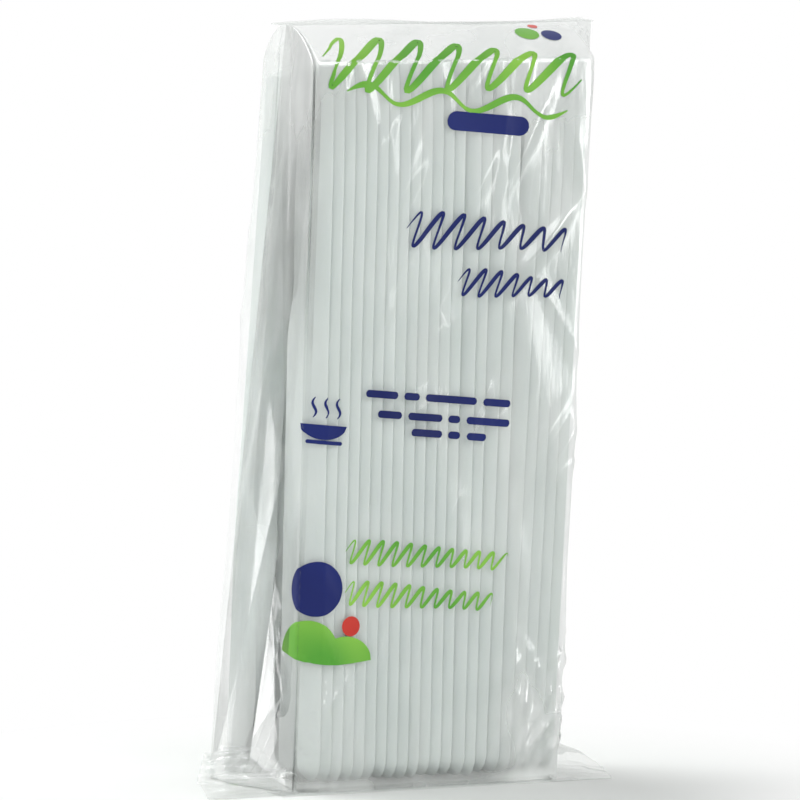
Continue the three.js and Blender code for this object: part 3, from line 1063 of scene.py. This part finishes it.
# %% Ink materials
def ink_material(name, dark, light, change_mm):
    material = new_material(name)
    coords = add_node(material, "ShaderNodeTexCoord").outputs["Object"]
    cloud = add_node(
        material, "ShaderNodeTexNoise", {"Vector": coords, "Scale": 1000 / change_mm, "Detail": 1.0}
    )
    ramp = add_node(material, "ShaderNodeValToRGB", {"Fac": cloud.outputs["Fac"]})
    ramp.color_ramp.elements[0].position = 0.35
    ramp.color_ramp.elements[0].color = linear(dark)
    ramp.color_ramp.elements[1].position = 0.62
    ramp.color_ramp.elements[1].color = linear(light)
    shader = add_node(
        material,
        "ShaderNodeBsdfPrincipled",
        {
            "Base Color": ramp.outputs["Color"],
            "Roughness": 0.3,
            "IOR": 1.5,
            "Specular IOR Level": 0.2,
        },
    )
    add_node(material, "ShaderNodeOutputMaterial", {"Surface": shader.outputs["BSDF"]})
    return material


green_ink = ink_material("flexographic_ink_green", "5AA63C", "93CE52", 22.0)
blue_ink = ink_material("flexographic_ink_blue", "18225E", "1D2A70", 30.0)
red_ink = ink_material("flexographic_ink_red", "C93A30", "D94C40", 30.0)
print("inks:", green_ink.name, blue_ink.name, red_ink.name)

# %% [markdown]
# ## Lay out the print
# Each line of the print starts at a place on the web: millimetres from the front left
# corner, and millimetres above the table.

# %% Green print
green = [
    wave((-3.0, 170.0), 64, 13.5, 9.2, 0.75, 0.5, 0.25),
    wave((3.0, 160.5), 54, 4.0, 18.0, 0.6, 0.2),
    disc((50.0, 178.5), 2.7),
    wave((5.5, 55.5), 41, 4.6, 3.6, 0.36, 0.4, 0.2),
    wave((5.5, 46.0), 38, 4.6, 3.6, 0.36, 0.4, 0.2),
]


HILLS = [(-3.5, 7.5, 8.0), (6.0, 6.5, 5.0)]  # middle, half width and height of each
HILLS_LEFT = -11
HILLS_WIDTH = 23.5


def hills(along, side):
    """Two round hills that overlap, on a foot that sags a little."""
    x = HILLS_LEFT + HILLS_WIDTH * along
    tops = [high * math.sqrt(max(0, 1 - ((x - mid) / half) ** 2)) for mid, half, high in HILLS]
    foot = -1.8 * math.sin(math.pi * along)
    return x, foot + (max(tops) - foot) * side


green.append(ink_patch((0.0, 31.5), 94, 32, hills))
ink_piece("green_print", green, green_ink)
print("green print:", len(green), "shapes")

# %% Blue print
BOWL_PLACE = (-0.5, 84.5)
BOWL_RADIUS = 5.6
BOWL_DEPTH = 3.4


def bowl(along, side):
    """A bowl seen from the side: a flat rim above a round belly."""
    x = -BOWL_RADIUS + 2 * BOWL_RADIUS * along
    belly = -BOWL_DEPTH * math.sqrt(max(0, 1 - (x / BOWL_RADIUS) ** 2))
    return x, belly * side


blue = [
    bar((27.5, 153.5), 0, 20, 2.2),
    wave((18.5, 129.0), 40, 6.6, 5.2, 0.42, 0.45, 0.25),
    wave((31.5, 116.5), 27, 5.0, 4.0, 0.36, 0.45, 0.25),
    disc((55.5, 177.5), 2.3),
    disc((-1.5, 47.0), 6.3),
    ink_patch(BOWL_PLACE, 24, 6, bowl),
    bar((BOWL_PLACE[0], BOWL_PLACE[1] - 4.0), -4.5, 9, 0.45),
]
for offset in (-3.0, 0.0, 3.0):
    steam = lambda t, x=offset: (x + 0.55 * math.sin(2 * math.pi * t), 1.6 + 4.6 * t)
    width = lambda t: 0.34 * math.sin(math.pi * min(max(t, 0.04), 0.96)) ** 0.5
    blue.append(ink_patch(BOWL_PLACE, 14, 2, stroke(steam, width)))

WORD_GAP = 1.5
LETTER_HALF = 0.85
LINES = [((9.5, 91.5), (8, 4, 13, 7)), ((12.5, 86.7), (6, 9, 3, 11)), ((21.0, 82.2), (8, 3, 5))]
for origin, words in LINES:
    start = 0
    for word in words:
        blue.append(bar(origin, start, word, LETTER_HALF))
        start += word + WORD_GAP
ink_piece("blue_print", blue, blue_ink)
print("blue print:", len(blue), "shapes")

# %% Red print
red = [disc((53.2, 182.3), 1.1), disc((7.2, 38.2), 2.3)]
ink_piece("red_print", red, red_ink)
print("red print:", len(red), "shapes")

# %% [markdown]
# ## Light, table and background
# The pack stands on a plain white table in soft studio light. The background is white by
# the light path, so it needs no extra light. A wide lamp behind on the left and a small
# one on the left light the film and the rear row. A soft one in front keeps the front
# row readable, and a narrow upright one at the front right gives the film its glints.

# %% Stage
SHADOW_REACH = (0.06, 0.13)  # the table fades to plain white between these distances
FRONT_LEVEL = 0.62  # the room's fill light from in front, and from behind
BACK_LEVEL = 0.20
LAMP_AIM = Vector((0, 0, 0.09))
LAMPS = [  # name, place, width, height, watts
    ("rear_left_lamp", (-0.40, 0.80, 0.80), 0.9, 0.6, 10.0),
    ("left_lamp", (-0.85, 0.35, 0.50), 0.4, 0.4, 1.4),
    ("front_lamp", (0.10, -1.05, 0.70), 0.8, 0.5, 2.3),
    ("right_strip_lamp", (0.56, -0.83, 0.25), 0.12, 0.7, 0.9),
]

deselect()
bpy.ops.mesh.primitive_plane_add(size=6, location=(0, 0, 0))
table = bpy.context.object
table.name = "table"
table_white = new_material("matt_white_table")
table_shader = add_node(
    table_white, "ShaderNodeBsdfPrincipled", {"Base Color": linear("F4F6F4"), "Roughness": 0.7}
)
table_place = add_node(table_white, "ShaderNodeTexCoord").outputs["Object"]
from_pack = add_node(
    table_white, "ShaderNodeVectorMath", {0: table_place}, operation="LENGTH"
)
far = add_node(
    table_white,
    "ShaderNodeMapRange",
    {"Value": from_pack.outputs["Value"], "From Min": SHADOW_REACH[0], "From Max": SHADOW_REACH[1]},
    interpolation_type="SMOOTHSTEP",
)
table_path = add_node(table_white, "ShaderNodeLightPath")
white_out = add_node(
    table_white,
    "ShaderNodeMath",
    {0: far.outputs["Result"], 1: table_path.outputs["Is Camera Ray"]},
    operation="MULTIPLY",
)
bright = add_node(table_white, "ShaderNodeEmission", {"Color": (1, 1, 1, 1), "Strength": 1.0})
table_mix = add_node(
    table_white,
    "ShaderNodeMixShader",
    {0: white_out.outputs[0], 1: table_shader.outputs["BSDF"], 2: bright.outputs["Emission"]},
)
add_node(table_white, "ShaderNodeOutputMaterial", {"Surface": table_mix.outputs["Shader"]})
table.data.materials.append(table_white)

world = bpy.data.worlds.new("studio")
bpy.context.scene.world = world
world.use_nodes = True
world.node_tree.nodes.clear()
path = add_node(world, "ShaderNodeLightPath")
seen = add_node(
    world,
    "ShaderNodeMath",
    {0: path.outputs["Is Camera Ray"], 1: path.outputs["Is Glossy Ray"]},
    operation="MAXIMUM",
)
seen_through = add_node(
    world,
    "ShaderNodeMath",
    {0: seen.outputs[0], 1: path.outputs["Is Transmission Ray"]},
    operation="MAXIMUM",
)
direction = add_node(
    world,
    "ShaderNodeSeparateXYZ",
    {"Vector": add_node(world, "ShaderNodeTexCoord").outputs["Generated"]},
)
behind = add_node(
    world,
    "ShaderNodeMapRange",
    {
        "Value": direction.outputs["Y"],
        "From Min": -0.1,
        "From Max": 0.7,
        "To Min": FRONT_LEVEL,
        "To Max": BACK_LEVEL,
    },
)
level = add_node(
    world,
    "ShaderNodeMapRange",
    {"Value": seen_through.outputs[0], "To Min": behind.outputs["Result"], "To Max": 1.0},
)
sky = add_node(
    world, "ShaderNodeBackground", {"Color": (1, 1, 1, 1), "Strength": level.outputs["Result"]}
)
add_node(world, "ShaderNodeOutputWorld", {"Surface": sky.outputs["Background"]})


def add_lamp(name, location, width, height, watts):
    lamp = bpy.data.lights.new(name, "AREA")
    lamp.shape = "RECTANGLE"
    lamp.size = width
    lamp.size_y = height
    lamp.energy = watts
    lamp_object = bpy.data.objects.new(name, lamp)
    bpy.context.collection.objects.link(lamp_object)
    lamp_object.location = location
    aim = LAMP_AIM - Vector(location)
    lamp_object.rotation_euler = aim.to_track_quat("-Z", "Y").to_euler()


for lamp_values in LAMPS:
    add_lamp(*lamp_values)
bpy.context.scene.view_settings.view_transform = "Standard"
print("the stage is lit")
